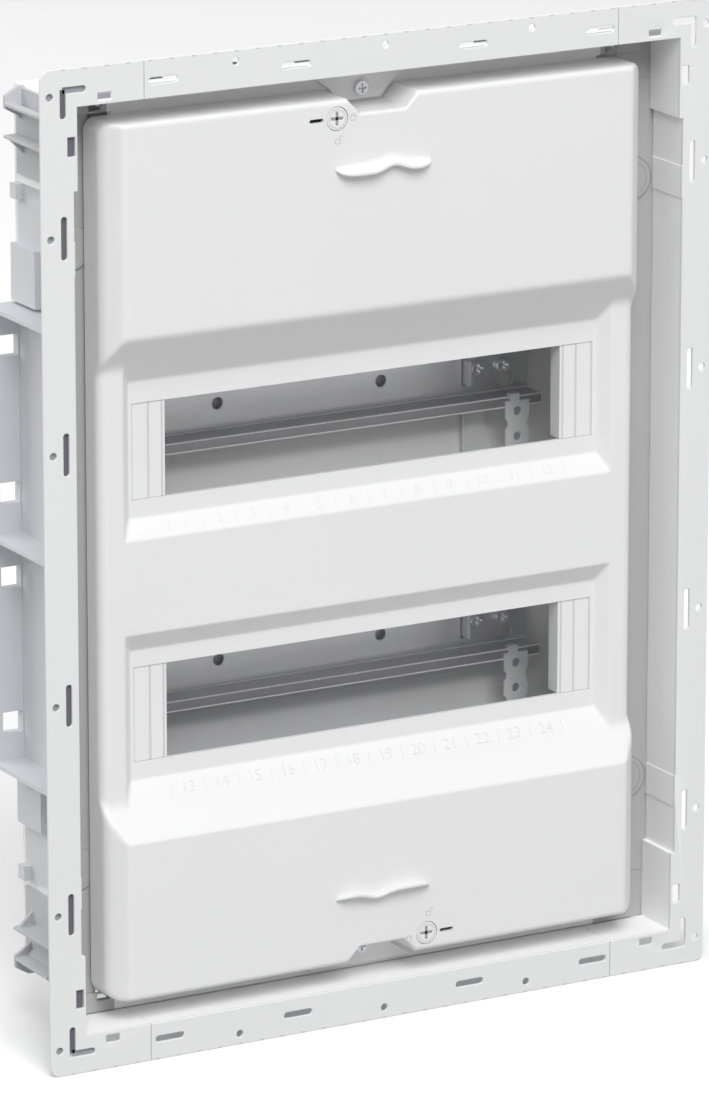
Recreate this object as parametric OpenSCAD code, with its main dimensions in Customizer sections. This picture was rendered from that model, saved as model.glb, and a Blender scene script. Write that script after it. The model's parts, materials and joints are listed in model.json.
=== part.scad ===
// Flush distribution box for two rows of twelve modular breakers, with a screw-on wall flange.
// X runs to the right, Y into the wall and Z up. The origin is the centre of the flange's front face.

/* [Flange] */
// Width of the flange
flange_w = 353; // [345:1:365]
// Height of the flange
flange_h = 473; // [465:1:485]
// Thickness of the flange
flange_t = 1.6; // [1.2:0.1:2.5]
// Radius of the flange's outer corners
flange_corner_r = 5; // [2:0.5:8]
// Half width of the opening beside the module rows
opening_half_w = 160; // [159:0.5:161]
// Half width of the opening near the corners
corner_half_w = 158; // [157:0.5:159]
// Height at which the opening narrows to its corner width
corner_step_z = 180; // [175:1:185]
// Half height of the opening
opening_half_h = 218.5; // [216:0.5:220]
// Distance from the centre line to the seam between side flange and entry wall
seam_x = 124.3; // [115:0.1:130]
// Radius of the round screw holes
screw_hole_r = 1.75; // [1.5:0.05:2.2]
// Distance of the side screw holes from the centre line
side_hole_x = 171.8; // [170:0.1:173]
// Heights of the side screw holes
side_hole_zs = [59, 159, 224];
// Distance of the entry wall's screw holes from the centre line
entry_hole_xs = [-77.5, 0, 77.5];
// Height of the entry wall's screw holes
entry_hole_z = 231.2; // [229:0.1:233]

/* [Box] */
// Depth from the flange's front face to the back of the box
box_depth = 89; // [88:0.5:100]
// Wall thickness of the mouldings
wall_t = 2; // [1.5:0.1:3]
// Depth of the ledge behind the collar
ledge_y = 27.3; // [26.5:0.1:30]
// Half width inside the deep part of the box
body_half_w = 143; // [142.8:0.1:144]
// Half height inside the deep part of the box
body_half_h = 210.5; // [209:0.5:212]

/* [Cover] */
// Half width of the cover
cover_half_w = 142.2; // [140:0.1:142.4]
// Half height of the cover
cover_half_h = 207.3; // [205:0.1:209]
// Depth of the raised panels' front
panel_y = 2.1; // [1:0.1:4]
// Depth of the pillars' and the middle panel's front
pillar_y = 12.5; // [11:0.1:13.5]
// Depth of the window faces
valley_y = 18.5; // [17:0.1:19]
// Depth of the cover's back edge
rim_y = 25.5; // [25:0.1:25.6]
// Thickness of the cover
skin = 2; // [1.5:0.1:2.5]
// Heights of the two windows' centres
window_zs = [50.7, -74.3];
// Half height of a window
window_half_h = 22.8; // [22:0.1:23.5]
// Half width of a window, blanking strips included
window_half_w = 122.5; // [120:0.5:123]
// Half width of the space left for breakers
module_half_w = 105; // [104:0.5:108]
// How far the grips stand out of the raised panels
grip_out = 5; // [4:0.5:9]

/* [Locks] */
// Distance of each lock from the centre line
lock_x = 24; // [22:0.5:30]
// Height of each lock above or below the centre
lock_z = 198.7; // [197:0.1:200]
// Radius of the lock's head
lock_head_r = 5.4; // [5:0.1:6]
// Radius of the lock's shank
lock_shank_r = 3.4; // [3:0.1:3.6]
// Clearance round the head and the shank
lock_gap = 0.3; // [0.2:0.05:0.4]

/* [Rails] */
// Width of the mounting rail across its lips
rail_w = 35; // [35:1:35]
// Depth of the rail
rail_d = 15; // [7.5:0.5:15]
// Width of the rail's web
rail_web_w = 25; // [24:0.5:26]
// Sheet thickness of the rail
rail_t = 1.5; // [1:0.1:2]
// Half length of the rail
rail_half_l = 124.5; // [122:0.5:126]
// Depth of the web's front face
rail_web_y = 81.6; // [78:0.1:82]
// How far each rail's centre sits below its window's centre
rail_drop = 0.7; // [0:0.1:2]

/* [Terminals] */
// Number of clamps on each terminal bar
clamp_count = 14; // [6:1:14]
// Distance between clamps
clamp_pitch = 10; // [8:0.5:10]
// Height of each terminal bar above or below the centre
terminal_z = 154; // [150:1:160]

/* [Hidden] */
$fn = 64;
EPS = 0.05;
rail_zs = [for (z = window_zs) z - rail_drop];
rail_front_y = rail_web_y + rail_t - rail_d;
wall_out_h = opening_half_h + wall_t;
collar_out_w = opening_half_w + wall_t;
body_out_w = body_half_w + wall_t;
lip_half_w = body_half_w - 4;
body_out_h = body_half_h + wall_t;
back_in_y = box_depth - wall_t;
seam_gap = 0.25;

// Small slots and holes of the flange
slot_w = 3;
side_slot_x = 165.1;
side_slot_l = 20;
entry_slot_l = 15;
entry_slot_xs = [46.4, 114.4];
corner_slot_z = 226.5;
corner_slot_ends = [155, 215];
catch_hole = [4, 9];
catch_hole_at = [161, 200.5];
latch_hole = [7, 3.6];
latch_hole_at = [144.2, 222];
guide_zs = [141.5, 157];
guide_rise = 0.35;

// Cable entries in the top and bottom walls
entry_xs = [-96, -48, 0, 48, 96];
entry_y = 60;
entry_r = 11;

// Crossbars behind the cover's ends, each with a lug for its centre screw
crossbar_y = rim_y + 0.3;
crossbar_half_w = 128;
crossbar_foot_z = 186;
crossbar_back_y = ledge_y + wall_t;
arm_half_w = 152;
arm_zs = [208.5, 218];
lug_d = 2;
lug = [[-28, 216], [-17, 208.3], [-10.8, 201.6], [10.8, 201.6], [17, 208.3], [28, 216]];
catch_slot_x = 135.75;
catch_slot_zs = [209.5, 212.5];
centre_screw_z = 207;

// Round pads on the ledge
ledge_disc = [148.3, 147.3];
ledge_disc_r = 10.7;

// Slopes of the cover, in millimetres of height for each millimetre of depth
upper_panel_foot_z = 107.4;
upper_slope = 1.433;
lower_panel_foot_z = -131;
lower_slope = 1.545;
strip_slope = 1.5;
middle_panel_zs = [-34.3, 10.3];
pillar_side_x = 129.7;
pillar_side_slope = 0.88;
pillar_round = 4;
panel_chamfer = 8.4;

// Notch over each centre screw
notch_top_half = 18.4;
notch_foot_half = 12;
notch_d = 7;

// Rail fixings
key_screw_x = 110;
link_screw_x = 96;
web_hole_x = 44;
pan_head_r = 3.5;
pan_head_h = 2.2;
screw_core_r = 1.6;
strap_x = 110.5;
strap_w = 13;
strap_pitch = 12.5;
strap_drop = 36;

// ---- helpers ----

// A box given by its two corners
module block(low, high) {
  translate(low) cube(high - low);
}

// A round bar along Y at x, z
module rod(x, z, r, y0, y1) {
  translate([x, y0, z]) rotate([-90, 0, 0]) cylinder(r = r, h = y1 - y0);
}

// A flat outline in X and Z, given thickness from y0 to y1
module plate(y0, y1) {
  translate([0, y1, 0]) rotate([90, 0, 0]) linear_extrude(y1 - y0) children();
}

// An outline in Y and Z carried along X from x0 to x1
module along_x(x0, x1) {
  translate([x0, 0, 0]) rotate([90, 0, 90]) linear_extrude(x1 - x0) children();
}

// An outline in X and Y carried along Z from z0 to z1
module along_z(z0, z1) {
  translate([0, 0, z0]) linear_extrude(z1 - z0) children();
}

// A round-ended slot outline between two points of a horizontal or vertical line
module slot_outline(a, b, w) {
  for (p = [a, b]) translate(p) circle(d = w, $fn = 32);
  size = [abs(b[0] - a[0]), abs(b[1] - a[1])];
  square_size = [size[0] > 0 ? size[0] : w, size[1] > 0 ? size[1] : w];
  translate((a + b) / 2) square(square_size, center = true);
}

// The same shape turned half a turn about the Y axis
module half_turn() {
  rotate([0, 180, 0]) children();
}

// ---- flange and entry walls ----

module rounded_outline(w, h, r) {
  square([w - 2 * r, h], center = true);
  square([w, h - 2 * r], center = true);
  for (x = [-1, 1], z = [-1, 1]) translate([x * (w / 2 - r), z * (h / 2 - r)]) circle(r = r);
}

module opening_outline() {
  square([2 * corner_half_w, 2 * opening_half_h], center = true);
  square([2 * opening_half_w, 2 * corner_step_z], center = true);
}

module flange_outline() {
  difference() {
    rounded_outline(flange_w, flange_h, flange_corner_r);
    opening_outline();
  }
}

// Outline of the right-hand flange, a bracket that reaches round both corners
module side_flange_outline() {
  difference() {
    intersection() {
      flange_outline();
      translate([seam_x, -flange_h / 2]) square([flange_w, flange_h]);
    }
    for (z = side_hole_zs, s = [-1, 1]) translate([side_hole_x, s * z]) circle(r = screw_hole_r);
    for (z = [side_hole_zs[0], side_hole_zs[1]], s = [-1, 1])
      slot_outline([side_slot_x, s * z - (side_slot_l - slot_w) / 2],
                   [side_slot_x, s * z + (side_slot_l - slot_w) / 2], slot_w);
    for (s = [-1, 1]) {
      slot_outline([side_slot_x, s * corner_slot_z], [side_slot_x, s * corner_slot_ends[1]], slot_w);
      slot_outline([side_slot_x, s * corner_slot_z], [corner_slot_ends[0], s * corner_slot_z], slot_w);
      translate([latch_hole_at[0], s * latch_hole_at[1]]) square(latch_hole, center = true);
    }
  }
}

// Flange with the collar behind it, right-hand side
module side_flange() {
  difference() {
    union() {
      plate(0, flange_t) side_flange_outline();
      block([opening_half_w, flange_t, -wall_out_h], [collar_out_w, ledge_y, wall_out_h]);
      for (s = [0, 1]) mirror([0, 0, s]) {
        block([corner_half_w, flange_t, corner_step_z], [opening_half_w, ledge_y, opening_half_h]);
        block([seam_x, flange_t, opening_half_h], [opening_half_w, ledge_y, wall_out_h]);
        block([opening_half_w - guide_rise, 0, guide_zs[0]], [opening_half_w, ledge_y, guide_zs[1]]);
      }
    }
    for (s = [-1, 1]) translate([catch_hole_at[0], 6, s * catch_hole_at[1]])
      cube([catch_hole[0], 14, catch_hole[1]], center = true);
  }
}

// Strip of flange and the wall behind it, for cables to come in, drawn for the top
module entry_wall() {
  strip_x = seam_x - seam_gap;
  difference() {
    union() {
      plate(0, flange_t) difference() {
        translate([-strip_x, opening_half_h]) square([2 * strip_x, flange_h / 2 - opening_half_h]);
        for (x = entry_hole_xs) translate([x, entry_hole_z]) circle(r = screw_hole_r);
        for (x = entry_slot_xs, s = [-1, 1])
          slot_outline([s * x - (entry_slot_l - slot_w) / 2, corner_slot_z],
                       [s * x + (entry_slot_l - slot_w) / 2, corner_slot_z], slot_w);
      }
      block([-strip_x, flange_t, opening_half_h], [strip_x, ledge_y + wall_t, wall_out_h]);
      block([-strip_x, ledge_y, body_half_h], [strip_x, ledge_y + wall_t, wall_out_h]);
      block([-strip_x, ledge_y, body_half_h], [strip_x, back_in_y, body_out_h]);
    }
    for (x = entry_xs) translate([x, entry_y, body_half_h - 1])
      cylinder(r = entry_r, h = wall_t + 2);
  }
}

// Soft membrane plug of one cable entry, drawn for the top
module grommet() {
  lip = 1.5;
  translate([0, 0, body_half_h]) rotate_extrude()
    polygon([[0, 0.4], [entry_r - 3, 0.4], [entry_r - 3, -lip], [entry_r + 2, -lip], [entry_r + 2, 0],
             [entry_r, 0], [entry_r, wall_t], [entry_r + 2, wall_t], [entry_r, wall_t + lip + 1],
             [entry_r - 3, wall_t + lip + 1], [entry_r - 5, 1.4], [0, 1.4]]);
}

module grommet_row() {
  for (x = entry_xs) translate([x, entry_y, 0]) grommet();
}

// ---- box ----

module wall_box() {
  color("gainsboro") difference() {
    union() {
      block([-body_out_w, back_in_y, -body_out_h], [body_out_w, box_depth, body_out_h]);
      for (s = [0, 1]) mirror([s, 0, 0]) {
        block([body_half_w, ledge_y + wall_t, -body_out_h], [body_out_w, back_in_y, body_out_h]);
        block([body_half_w, ledge_y, -wall_out_h], [collar_out_w, ledge_y + wall_t, wall_out_h]);
        block([lip_half_w, ledge_y, -body_half_h], [body_half_w, ledge_y + wall_t, body_half_h]);
        for (m = [0, 1]) mirror([0, 0, m]) {
          block([seam_x, ledge_y, body_half_h], [body_half_w, back_in_y, body_out_h]);
          block([seam_x, ledge_y, body_half_h], [body_half_w, ledge_y + wall_t, wall_out_h]);
        }
        for (z = rail_zs) rod(key_screw_x, z, 6, rail_web_y + rail_t, back_in_y);
        for (z = [-1, 1]) intersection() {
          rod(ledge_disc[0], z * ledge_disc[1], ledge_disc_r, ledge_y - 0.4, ledge_y + wall_t);
          block([lip_half_w, ledge_y - 1, -body_half_h], [collar_out_w, ledge_y + wall_t, body_half_h]);
        }
      }
    }
    for (s = [-1, 1], z = rail_zs)
      rod(s * key_screw_x, z, screw_core_r, rail_web_y, back_in_y);
    for (x = [-1, 1], z = [-1, 1])
      translate([x * catch_slot_x, ledge_y + 8, z * (catch_slot_zs[0] + catch_slot_zs[1]) / 2])
        cube([6.5, 18, 3], center = true);
  }
}

// Channel moulding along the outside of the box, right-hand side
module side_channel() {
  web_zs = [-109.5, 0, 109.5];
  side_t = 1;
  plate_y = 84;
  hole = 10.3;
  hole_x = 151.8;
  hole_zs = [20.2, 90.4];
  sleeve = hole + 3;
  difference() {
    union() {
      block([body_out_w, ledge_y + wall_t, -111.5], [body_out_w + side_t, plate_y, 111.5]);
      for (z = web_zs)
        block([body_out_w, ledge_y + wall_t, z - 1], [collar_out_w, plate_y + wall_t, z + 1]);
      block([body_out_w, plate_y, -109.5], [collar_out_w, plate_y + wall_t, 109.5]);
      for (z = hole_zs, s = [-1, 1])
        block([body_out_w, plate_y, s * z - sleeve / 2], [hole_x + sleeve / 2, box_depth, s * z + sleeve / 2]);
      for (s = [0, 1]) mirror([0, 0, s]) {
        block([body_out_w, 60, 112], [body_out_w + 5, plate_y, 139]);
        block([body_out_w, 78, 160], [body_out_w + 5, plate_y, 167]);
        block([body_out_w, ledge_y + wall_t, 111.5], [body_out_w + side_t, plate_y, 167]);
      }
    }
    for (z = hole_zs, s = [-1, 1]) translate([hole_x, (plate_y + box_depth) / 2, s * z])
      cube([hole, 20, hole], center = true);
  }
}

// Clip-on plaster anchor with two fins, drawn for the upper right corner
module anchor() {
  block([body_out_w, ledge_y + wall_t, 171], [body_out_w + 1.5, 84, 212]);
  plate(34, 80) polygon([[body_out_w, 188], [155, 189], [155, 190.5], [body_out_w, 190.5]]);
  plate(76, 78) polygon([[body_out_w, 180], [155, 190], [body_out_w, 190]]);
  plate(46, 80) polygon([[body_out_w, 199], [149, 203], [155, 204], [155, 205.6], [149, 204.8],
                         [body_out_w, 201]]);
  plate(78, 80) polygon([[body_out_w, 196], [149, 199.5], [155, 203], [155, 209], [148, 213],
                         [body_out_w, 213]]);
  plate(46, 48) polygon([[body_out_w, 199], [149, 203], [155, 204], [147, 216], [body_out_w, 216]]);
}

// Bar across the box behind the cover's upper end, with the lock's keyway
module crossbar() {
  difference() {
    union() {
      block([-crossbar_half_w, crossbar_y, crossbar_foot_z],
            [crossbar_half_w, crossbar_back_y, body_half_h - 0.3]);
      block([-arm_half_w, crossbar_y, arm_zs[0]], [arm_half_w, ledge_y, arm_zs[1]]);
      plate(crossbar_y - lug_d, crossbar_y) polygon(lug);
    }
    translate([-lock_x, 0, lock_z]) {
      rod(0, 0, lock_shank_r + 0.5, crossbar_y - 1, crossbar_back_y + 1);
      block([-8.6, crossbar_y - 1, -2.9], [8.6, crossbar_back_y + 1, 2.9]);
    }
    for (x = [-1, 1])
      block([x * catch_slot_x - 3.25, crossbar_y - 1, catch_slot_zs[0]],
            [x * catch_slot_x + 3.25, ledge_y + 1, catch_slot_zs[1]]);
    rod(0, centre_screw_z, screw_core_r, crossbar_y - lug_d - 1, crossbar_back_y + 1);
  }
}

// Pan-head screw along Y with its head's seat at y
module pan_screw(x, z, y, l) {
  difference() {
    union() {
      rod(x, z, pan_head_r, y - pan_head_h, y);
      rod(x, z, screw_core_r, y, y + l);
    }
    for (turn = [0, 90]) translate([x, y - pan_head_h, z]) rotate([0, turn, 0])
      cube([4.2, 2.4, 0.9], center = true);
  }
}

// ---- rails and their carriers ----

function rail_profile(z) = let (w = rail_w / 2, c = rail_web_w / 2, f = rail_front_y, b = rail_web_y)
  [[f, z + w], [f + rail_t, z + w], [f + rail_t, z + c + rail_t], [b + rail_t, z + c + rail_t],
   [b + rail_t, z - c - rail_t], [f + rail_t, z - c - rail_t], [f + rail_t, z - w], [f, z - w],
   [f, z - c], [b, z - c], [b, z + c], [f, z + c]];

// Top-hat rail at height z, with countersunk holes, keyholes and slots for the link bars' tabs
module din_rail(z) {
  difference() {
    along_x(-rail_half_l, rail_half_l) polygon(rail_profile(z));
    for (s = [-1, 1]) {
      rod(s * web_hole_x, z, 2.6, rail_web_y - 1, rail_web_y + rail_t + 1);
      rod(s * key_screw_x, z, screw_core_r + 0.3, rail_web_y - 1, rail_web_y + rail_t + 1);
      rod(s * (key_screw_x + 2), z - 7.5, 3.9, rail_web_y - 1, rail_web_y + rail_t + 1);
      rod(s * link_screw_x, z, screw_core_r + 0.3, rail_web_y - 1, rail_web_y + rail_t + 1);
      translate([s * (link_screw_x - 6.5), rail_web_y, z - 1]) cube([2.2, 8, 14], center = true);
    }
  }
}

module rail_screws(z) {
  for (s = [-1, 1]) {
    pan_screw(s * key_screw_x, z, rail_web_y, 5);
    pan_screw(s * link_screw_x, z, rail_web_y, 5);
  }
}

// Flat bar behind both rails, with a folded tab through each rail's web, right-hand side
module link_bar() {
  back = rail_web_y + rail_t;
  difference() {
    union() {
      block([link_screw_x - 6.2, back, rail_zs[1] - 11], [link_screw_x + 6.2, back + 1.5, rail_zs[0] + 11]);
      for (z = rail_zs)
        block([link_screw_x - 7.2, rail_web_y - 6, z - 7], [link_screw_x - 5.8, back + 1.5, z + 5]);
    }
    for (z = rail_zs) rod(link_screw_x, z, screw_core_r + 0.05, back - 1, back + 3);
  }
}

// Perforated strap that hangs on a rail's lower lip and stands on the back wall, right-hand side
module rail_strap(z) {
  top = z - rail_w / 2 + 3;
  front = rail_front_y - 1.5;
  foot = top - strap_drop;
  hook = z - rail_web_w / 2 + 0.1;
  difference() {
    union() {
      block([strap_x - strap_w / 2, front, foot], [strap_x + strap_w / 2, rail_front_y, top]);
      block([strap_x - strap_w / 2, front, foot - 1.5], [strap_x + strap_w / 2, back_in_y, foot]);
      block([strap_x - 4, front, top], [strap_x + 1, rail_front_y, hook + 1.5]);
      block([strap_x - 4, front, hook], [strap_x + 1, rail_front_y + rail_t + 1, hook + 1.5]);
    }
    for (i = [0:2]) {
      rod(strap_x, top - 5 - i * strap_pitch, 2.2, front - 1, rail_front_y + 1);
      for (s = [-1, 1])
        rod(strap_x + s * (strap_w / 2 + 1.5), top - 5 - (i + 0.5) * strap_pitch, 3,
            front - 1, rail_front_y + 1);
    }
  }
}

// ---- terminals ----

clamp_span = clamp_pitch * (clamp_count - 1);
bar_half_l = clamp_span / 2 + 8;
bar_y = 44;

// Plastic bracket from the crossbar to the terminal bar, drawn for the top
module terminal_bracket() {
  difference() {
    union() {
      block([-14, crossbar_back_y, 188], [14, crossbar_back_y + 2.5, body_half_h - 0.4]);
      block([-14, crossbar_back_y, 188], [14, bar_y + 11, 190.5]);
      block([-14, bar_y + 8.5, terminal_z - 7], [14, bar_y + 11, 190.5]);
      block([-bar_half_l - 4, bar_y + 8, terminal_z - 7], [bar_half_l + 4, bar_y + 11, terminal_z + 7]);
      for (s = [-1, 1])
        block([s * (bar_half_l + 2) - 2, bar_y - 1, terminal_z - 7],
              [s * (bar_half_l + 2) + 2, bar_y + 11, terminal_z + 7]);
    }
    rod(0, centre_screw_z, screw_core_r, crossbar_back_y - 1, crossbar_back_y + 4);
  }
}

// Brass bar with a row of wire holes from above and clamp screws from the front
module terminal_bar() {
  difference() {
    block([-bar_half_l, bar_y, terminal_z - 5], [bar_half_l, bar_y + 8, terminal_z + 5]);
    for (i = [0:clamp_count - 1]) {
      x = i * clamp_pitch - clamp_span / 2;
      rod(x, terminal_z, 2, bar_y - 1, bar_y + 3);
      translate([x, bar_y + 4.6, terminal_z - 6]) cylinder(r = 2.6, h = 12);
    }
  }
}

module clamp_screws() {
  for (i = [0:clamp_count - 1]) {
    x = i * clamp_pitch - clamp_span / 2;
    difference() {
      union() {
        rod(x, terminal_z, 3.1, bar_y - 3, bar_y);
        rod(x, terminal_z, 1.95, bar_y, bar_y + 2.6);
      }
      block([x - 4, bar_y - 4, terminal_z - 0.5], [x + 4, bar_y - 2, terminal_z + 0.5]);
    }
  }
}

// ---- cover ----

// Height of a slanted face at depth y, moved inwards by i
function upper_face_z(y, i) = upper_panel_foot_z - upper_slope * (y - panel_y) + i * norm([1, upper_slope]);
function lower_face_z(y, i) = lower_panel_foot_z + lower_slope * (y - panel_y) - i * norm([1, lower_slope]);

// The pillars' slab, inset by i and reaching back to y
module cover_slab(i, y) {
  w = cover_half_w - i;
  c = pillar_round;
  along_z(-cover_half_h + i, cover_half_h - i)
    polygon([[-w, y], [-w, pillar_y + c + i], [-w + c, pillar_y + i], [w - c, pillar_y + i],
             [w, pillar_y + c + i], [w, y]]);
}

// Both raised panels, inset by i
module cover_panels(i, y) {
  w = cover_half_w - i;
  c = panel_chamfer - 0.41 * i;
  f = panel_y + i;
  intersection() {
    along_z(-cover_half_h + i, cover_half_h - i)
      polygon([[-w, y], [-w, f + c], [-w + c, f], [w - c, f], [w, f + c], [w, y]]);
    along_x(-cover_half_w, cover_half_w) union() {
      polygon([[y, cover_half_h], [f, cover_half_h], [f, upper_face_z(f, i)],
               [pillar_y + 3, upper_face_z(pillar_y + 3, i)], [y, upper_face_z(pillar_y + 3, i)]]);
      polygon([[y, -cover_half_h], [f, -cover_half_h], [f, lower_face_z(f, i)],
               [pillar_y + 3, lower_face_z(pillar_y + 3, i)], [y, lower_face_z(pillar_y + 3, i)]]);
    }
  }
}

// The sunken field round a window, with its upper and lower faces given as [height at y = 0, slope]
module valley(high, low, i) {
  f = valley_y + i;
  x0 = pillar_side_x + pillar_side_slope * pillar_y + i * norm([1, pillar_side_slope]);
  dz = [i * norm([1, high[1]]) - EPS, i * norm([1, low[1]]) - EPS];
  intersection() {
    along_x(-cover_half_w, cover_half_w)
      polygon([[0, high[0] + dz[0]], [f, high[0] + dz[0] + high[1] * f],
               [f, low[0] - dz[1] + low[1] * f], [0, low[0] - dz[1]]]);
    along_z(-cover_half_h, cover_half_h)
      polygon([[-x0, 0], [-x0 + pillar_side_slope * f, f], [x0 - pillar_side_slope * f, f], [x0, 0]]);
  }
}

module valleys(i) {
  valley([upper_face_z(0, 0), -upper_slope],
         [middle_panel_zs[1] - strip_slope * pillar_y, strip_slope], i);
  valley([middle_panel_zs[0] + strip_slope * pillar_y, -strip_slope],
         [lower_face_z(0, 0), lower_slope], i);
}

module cover_form(i, y) {
  difference() {
    union() {
      cover_slab(i, y);
      cover_panels(i, y);
    }
    valleys(i);
  }
}

// Gap in the cover's upper edge over the centre screw, made wider by grow
module notch(grow) {
  z = cover_half_h;
  plate(-1, rim_y + 1)
    polygon([[-notch_top_half - grow, z + 1], [-notch_top_half - grow, z - grow],
             [-notch_foot_half - grow, z - notch_d - grow], [notch_foot_half + grow, z - notch_d - grow],
             [notch_top_half + grow, z - grow], [notch_top_half + grow, z + 1]]);
}

// Finger grip of the upper panel, a lens-shaped shelf
module grip() {
  half = 25.5;
  r = (half * half + grip_out * grip_out) / (2 * grip_out);
  intersection() {
    translate([0, panel_y - grip_out + r, 172]) cylinder(r = r, h = 3.5);
    block([-half, panel_y - grip_out - 1, 172], [half, panel_y + 0.5, 175.5]);
  }
}

module lock_boss() {
  rod(-lock_x, lock_z, lock_head_r + lock_gap + 2, panel_y + 1, panel_y + 10);
}

module lock_bore() {
  rod(-lock_x, lock_z, lock_head_r + lock_gap, panel_y - 1, panel_y + 3.5);
  rod(-lock_x, lock_z, lock_shank_r + lock_gap, panel_y, panel_y + 12);
  plate(panel_y - 1, panel_y + skin + 1) slot_outline([-37.5, lock_z], [-32, lock_z], 1.9);
}

module cover() {
  color("white") difference() {
    union() {
      difference() {
        cover_form(0, rim_y);
        difference() {
          cover_form(skin, rim_y + 1);
          notch(skin);
          half_turn() notch(skin);
        }
      }
      grip();
      half_turn() grip();
      lock_boss();
      half_turn() lock_boss();
    }
    notch(0);
    half_turn() notch(0);
    lock_bore();
    half_turn() lock_bore();
    for (z = window_zs)
      block([-window_half_w, valley_y - 2, z - window_half_h], [window_half_w, rim_y + 1, z + window_half_h]);
  }
}

// Snap-in strip that closes one module's width at the right-hand end of a window
module blank(z) {
  front = valley_y + 0.5;
  x0 = module_half_w;
  x1 = window_half_w - 0.15;
  h = window_half_h - 0.15;
  mid = (x0 + x1) / 2;
  difference() {
    union() {
      block([x0, front, z - h], [x1, front + 1.8, z + h]);
      block([x0, front, z - h], [x0 + 1.5, front + 8.5, z + h]);
      block([x0 + 4, valley_y + skin, z - h - 2], [x1 - 1, valley_y + skin + 1.5, z + h + 2]);
    }
    for (x = [x0 + 1.6, mid]) block([x - 0.3, front - 1, z - h - 1], [x + 0.3, front + 0.5, z + h + 1]);
  }
}

// Quarter-turn lock: head in the cover, shank and tongue through the crossbar's keyway
module lock() {
  head_y = panel_y + 0.2;
  tongue_y = crossbar_back_y + 1;
  translate([-lock_x, 0, lock_z]) difference() {
    union() {
      rod(0, 0, lock_head_r, head_y, head_y + 3);
      rod(0, 0, lock_shank_r, head_y + 3, tongue_y + 2.5);
      block([-8, tongue_y, -2.2], [8, tongue_y + 2.5, 2.2]);
    }
    for (turn = [0, 90]) translate([0, head_y, 0]) rotate([0, turn, 0])
      cube([6.4, 3.4, 1.4], center = true);
  }
}

// ---- nodes ----

wall_box();
color("whitesmoke") mirror([1, 0, 0]) side_flange();  // left_flange
color("whitesmoke") side_flange();  // right_flange
color("whitesmoke") entry_wall();  // top_entry_wall
color("whitesmoke") half_turn() entry_wall();  // bottom_entry_wall
color("dimgray") grommet_row();  // top_grommets
color("dimgray") half_turn() grommet_row();  // bottom_grommets
color("lightsteelblue") mirror([1, 0, 0]) side_channel();  // left_side_channel
color("lightsteelblue") side_channel();  // right_side_channel
color("lightsteelblue") mirror([1, 0, 0]) anchor();  // upper_left_anchor
color("lightsteelblue") anchor();  // upper_right_anchor
color("lightsteelblue") half_turn() anchor();  // lower_left_anchor
color("lightsteelblue") mirror([0, 0, 1]) anchor();  // lower_right_anchor
color("gainsboro") crossbar();  // upper_crossbar
color("gainsboro") half_turn() crossbar();  // lower_crossbar
color("silver")  // terminal_bracket_screws
  for (z = [-1, 1]) pan_screw(0, z * centre_screw_z, crossbar_y - lug_d, 7.5);
color("silver") din_rail(rail_zs[0]);  // upper_din_rail
color("silver") din_rail(rail_zs[1]);  // lower_din_rail
color("lightgray") rail_screws(rail_zs[0]);  // upper_rail_screws
color("lightgray") rail_screws(rail_zs[1]);  // lower_rail_screws
color("darkgray") mirror([1, 0, 0]) link_bar();  // left_link_bar
color("darkgray") link_bar();  // right_link_bar
color("darkgray") mirror([1, 0, 0]) rail_strap(rail_zs[0]);  // upper_left_rail_strap
color("darkgray") rail_strap(rail_zs[0]);  // upper_right_rail_strap
color("darkgray") mirror([1, 0, 0]) rail_strap(rail_zs[1]);  // lower_left_rail_strap
color("darkgray") rail_strap(rail_zs[1]);  // lower_right_rail_strap
color("yellowgreen") terminal_bracket();  // earth_bracket
color("goldenrod") terminal_bar();  // earth_bar
color("silver") clamp_screws();  // earth_clamp_screws
color("steelblue") half_turn() terminal_bracket();  // neutral_bracket
color("goldenrod") half_turn() terminal_bar();  // neutral_bar
color("silver") half_turn() clamp_screws();  // neutral_clamp_screws
cover();
color("white") mirror([1, 0, 0]) blank(window_zs[0]);  // upper_left_blank
color("white") blank(window_zs[0]);  // upper_right_blank
color("white") mirror([1, 0, 0]) blank(window_zs[1]);  // lower_left_blank
color("white") blank(window_zs[1]);  // lower_right_blank
color("white") lock();  // upper_lock
color("white") half_turn() lock();  // lower_lock
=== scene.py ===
import json
import math

import bmesh
import bpy
import numpy as np
from mathutils import Matrix, Vector


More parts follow.
